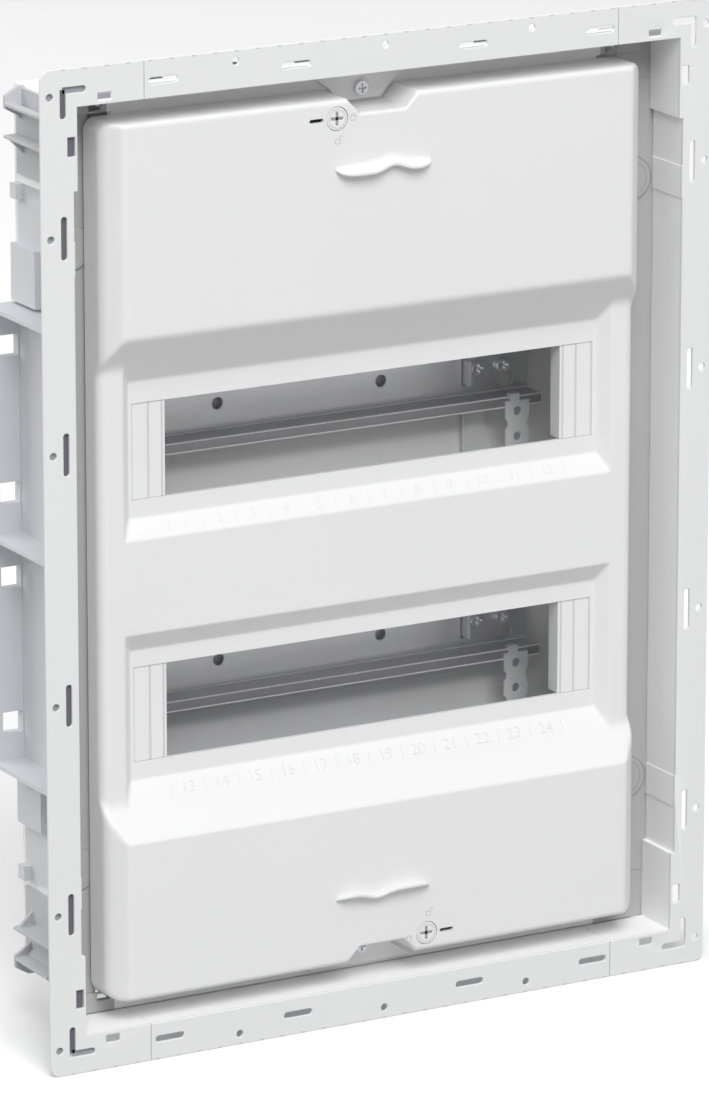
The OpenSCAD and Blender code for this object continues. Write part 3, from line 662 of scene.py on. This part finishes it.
# %% [markdown]
# A padlock is a square ring with a bow on top, and the open one's bow is swung to the side. A
# ribbon follows each line at a fixed half width. The locks get a dark cross in their recess: painted shade.
# %% Padlocks and lock marks
def ribbon(line, half, y0, y1):
    """A flat strip of a given half width along a line of (x, z) points, from depth y0 to y1."""
    line = np.asarray(line, float)
    along = np.gradient(line, axis=0)
    along /= np.linalg.norm(along, axis=1)[:, None]
    side = np.stack([-along[:, 1], along[:, 0]], -1) * half
    left, right_ = line + side, line - side
    n = len(line)
    rim = np.concatenate([left, right_])
    points = np.concatenate([np.insert(rim, 1, y0, axis=1), np.insert(rim, 1, y1, axis=1)])
    faces = []
    for i in range(n - 1):
        a, b, c, d = i, i + 1, n + i + 1, n + i
        faces += [[a, b, c, d], [a + 2 * n, d + 2 * n, c + 2 * n, b + 2 * n],
                  [a, a + 2 * n, b + 2 * n, b], [d, c, c + 2 * n, d + 2 * n]]
    return points, faces


def arc(cx, cz, r, start, end, n=17):
    t = np.radians(np.linspace(start, end, n))
    return np.stack([cx + r * np.cos(t), cz + r * np.sin(t)], -1)


marks, crosses = [], []
FRONT = PANEL - 0.06
for s, shut, opened in ((1, (-15.8, 199.0), (-23.8, 188.8)), (-1, (14.4, -199.7), (24.9, -188.5))):
    for at, swing in ((shut, 0), (opened, 1.6)):
        body_line = [(-1.3, -1.7), (1.3, -1.7), (1.3, 0.4), (-1.3, 0.4), (-1.3, -1.7)]
        for first, last in zip(body_line[:-1], body_line[1:]):
            line = np.linspace(first, last, 3) + at
            marks.append(ribbon(line, 0.22, FRONT, PANEL + 0.3))
        marks.append(ribbon(arc(at[0] + swing, at[1] + 0.5 + 0.3 * (swing > 0), 0.95, 0, 180), 0.2,
                            FRONT, PANEL + 0.3))
    x0, z0 = -s * LOCK_X, s * LOCK_Z
    marks.append(ribbon(arc(x0, z0, 4.3, 0, 360, 65), 0.22, PANEL + 0.12, PANEL + 0.6))
    for tip in ((3.2, 0), (0, 3.2)):
        line = np.linspace((x0 - tip[0], z0 - tip[1]), (x0 + tip[0], z0 + tip[1]), 5)
        crosses.append(ribbon(line, 0.66, PANEL + 0.45, PANEL + 1.8))
points, faces = merged(marks)
loose_piece("padlock_marks", points, faces, MARK_GREY, "cover")
half = len(crosses) // 2
for name, parts, body in (("upper_lock_cross", crosses[:half], "upper_lock"),
                          ("lower_lock_cross", crosses[half:], "lower_lock")):
    points, faces = merged(parts)
    loose_piece(name, points, faces, RECESS_PAINTED_SHADE, body)

# %% [markdown]
# ## Beads, dashes and other small relief
# The rails' bends show as bright lines; each is a fine round bead along X, white and not metallic: a
# painted highlight.
# Short grey dashes along the flange's long edges stand for its small notches: painted shade.
# %% Beads and dashes
def bead(x0, x1, y, z, r, n=10):
    """A round bar along X."""
    t = np.arange(n) / n * 2 * math.pi
    ring = np.stack([np.zeros(n), y + r * np.cos(t), z + r * np.sin(t)], -1)
    points = np.concatenate([ring + [x0, 0, 0], ring + [x1, 0, 0]])
    i = np.arange(n)
    j = (i + 1) % n
    sides = np.stack([i, j, j + n, i + n], -1).tolist()
    return points, sides + [i[::-1].tolist(), (i + n).tolist()]


parts = []
for z in (50, -75):
    for y, dz in ((81.3, -12.2), (81.3, 12.2), (68.05, -12.6), (68.05, 12.6), (68.4, -17.4), (68.4, 17.4)):
        parts.append(bead(-124.3, 124.3, y, z + dz, 0.45))
points, faces = merged(parts)
loose_piece("rail_bend_highlights", points, faces, BEND_HIGHLIGHT, "box")
parts = []
for sx in (1, -1):
    for sz in (1, -1):
        for r in (10.7, 8.2) if sx > 0 else ():
            ring = arc(148.3, 147.3, r, -80, 80, 61)
            parts.append(ribbon(ring * (sx, sz), 0.25, 26.8, 27.6))
        parts.append(bar(*sorted((sx * 150.0, sx * 157.5)), 27.1, 27.6, *sorted((sz * 194.8, sz * 195.3))))
points, faces = merged(parts)
loose_piece("ledge_marks", points, faces, LEDGE_LINE, "box")
parts = []
for window in WINDOWS:
    for side in (1, -1):
        for x in (106.6, 113.7, 122.3):
            c, f = bar(side * x - 0.5, side * x + 0.5, 18.9, 19.4, window - 22.5, window + 22.5)
            parts.append((c, f))
points, faces = merged(parts)
loose_piece("blank_grooves", points, faces, MARK_GREY, "cover")
# Grey dashes on the flange's long edges: painted shade for its small notches.
parts = []
for side in (1, -1):
    for x in np.arange(-165, 166, 11.0):
        parts.append(bar(x - 1.1, x + 1.1, -0.03, 0.4, *sorted((side * 235.6, side * 236.3))))
points, faces = merged(parts)
loose_piece("notch_shade_dashes", points, faces, MARK_GREY, "box")

# %% [markdown]
# The left flange's screw holes and slots go through, and thin webs just behind its front close them. Their
# fronts are painted shade, dark and grey, for the shaded collar wall that shows through the holes; behind
# they have the flange's own colour. The right flange's are open.
# %% Webs in the left flange
def webs(name, material, *spots):
    """One web for each spot (x, z, half width, half height), above and below the middle."""
    parts = []
    for x, z, half_w, half_h in spots:
        for side in (1, -1):
            parts.append(bar(-x - half_w, -x + half_w, 1.65, 2.4, side * z - half_h, side * z + half_h))
    points, faces = merged(parts)
    loose_piece(name, points, faces, material, "box")


webs("painted_shade_webs", PAINTED_SHADE_WEB, (165.1, 220.0, 1.7, 6.6), (161.0, 200.5, 1.95, 4.45),
     (165.1, 59, 1.8, 10.2), (165.1, 159, 1.8, 10.2))
webs("painted_grey_shade_webs", PAINTED_GREY_SHADE_WEB, (159.0, 226.5, 5.6, 1.7), (171.8, 59, 2.1, 2.1), (171.8, 159, 2.1, 2.1),
     (171.8, 224, 2.1, 2.1))

# %% [markdown]
# ## Studio
# A plain pale floor, a bright even sky that is lighter above than below, and two large soft lamps.
# The sky's gradient makes slants that face up bright and those that face down grey.
# %% Floor and light
floor_z = float(cad_low[2])
mesh = bpy.data.meshes.new("floor")
mesh.from_pydata([(-30, -30, floor_z), (30, -30, floor_z), (30, 30, floor_z), (-30, 30, floor_z)],
                 [], [(0, 1, 2, 3)])
pale = Finish("floor_pale")
mesh.materials.append(pale.set(Base_Color=(0.93, 0.93, 0.93, 1), Roughness=0.9))
floor = bpy.data.objects.new("floor", mesh)
bpy.context.scene.collection.objects.link(floor)
floor.visible_diffuse = False
floor.visible_shadow = False

world = bpy.data.worlds.new("studio")
bpy.context.scene.world = world
world.use_nodes = True
tree = world.node_tree
tree.nodes.clear()


def lamp(name, place, aim, size, power, colour=(1, 1, 1)):
    """A square soft lamp at a place in metres, aimed at a point."""
    data = bpy.data.lights.new(name, "AREA")
    data.shape = "SQUARE"
    data.size = size
    data.energy = power
    data.color = colour
    holder = bpy.data.objects.new(name, data)
    bpy.context.scene.collection.objects.link(holder)
    holder.location = place
    holder.rotation_euler = (Vector(aim) - Vector(place)).to_track_quat("-Z", "Y").to_euler()


def sky(tree):
    """Radiance by height: a ramp on the direction's Z, and plain white straight behind."""
    def add(kind, **inputs):
        node = tree.nodes.new("ShaderNode" + kind)
        for key, value in inputs.items():
            if isinstance(value, bpy.types.NodeSocket):
                tree.links.new(value, node.inputs[int(key[1:])])
            else:
                node.inputs[int(key[1:])].default_value = value
        return node
    place = add("TexCoord").outputs["Generated"]
    height = add("SeparateXYZ", i0=place).outputs[2]
    ramp = add("ValToRGB", i0=add("MapRange", i0=height, i1=-1.0, i2=1.0).outputs[0])
    stops = ramp.color_ramp.elements
    stops[0].position, stops[0].color = 0.0, (0.42, 0.42, 0.42, 1)
    stops[1].position, stops[1].color = 1.0, (0.70, 0.70, 0.70, 1)
    for position, grey in ((0.40, 0.42), (0.55, 0.46), (0.75, 0.58)):
        stop = stops.new(position)
        stop.color = (grey, grey, grey, 1)
    light = add("Background", i0=ramp.outputs[0], i1=1.0)
    white = add("Background", i0=(1, 1, 1, 1), i1=1.15)
    seen = add("LightPath").outputs["Is Camera Ray"]
    mix = add("MixShader", i0=seen, i1=light.outputs[0], i2=white.outputs[0])
    tree.links.new(mix.outputs[0], tree.nodes.new("ShaderNodeOutputWorld").inputs[0])


sky(tree)
lamp("key", (-1.2, -4.2, 4.6), (0, 0, 0), 3.4, 315)
lamp("back", (-2.6, 2.4, 1.8), (0, 0, 0), 2.0, 45)
bpy.context.scene.view_settings.view_transform = "Standard"

# %% [markdown]
# ## Camera
# A long lens from the left and a little above, so that the verticals stay nearly parallel.
# %% Camera
AZIMUTH, ELEVATION, DISTANCE = math.radians(-29.32), math.radians(15.40), 3.5
FOCAL, LONG_SIDE, SENSOR = 7480.0, 1103, 36.0
back = np.array([math.sin(AZIMUTH) * math.cos(ELEVATION), -math.cos(AZIMUTH) * math.cos(ELEVATION),
                 math.sin(ELEVATION)])
right = np.cross(-back, [0, 0, 1])
right /= np.linalg.norm(right)
above = np.cross(right, -back)
place = np.array([0, 0.04, 0]) + right * 0.0054 - above * 0.0172 + back * DISTANCE
camera = bpy.data.objects.new("camera", bpy.data.cameras.new("camera"))
bpy.context.scene.collection.objects.link(camera)
camera.data.sensor_width = SENSOR
camera.data.lens = FOCAL / LONG_SIDE * SENSOR
camera.data.clip_end = 100
camera.location = place
camera.rotation_euler = Vector(-back).to_track_quat("-Z", "Y").to_euler()
bpy.context.scene.camera = camera
print("lens:", round(camera.data.lens, 1), "mm")
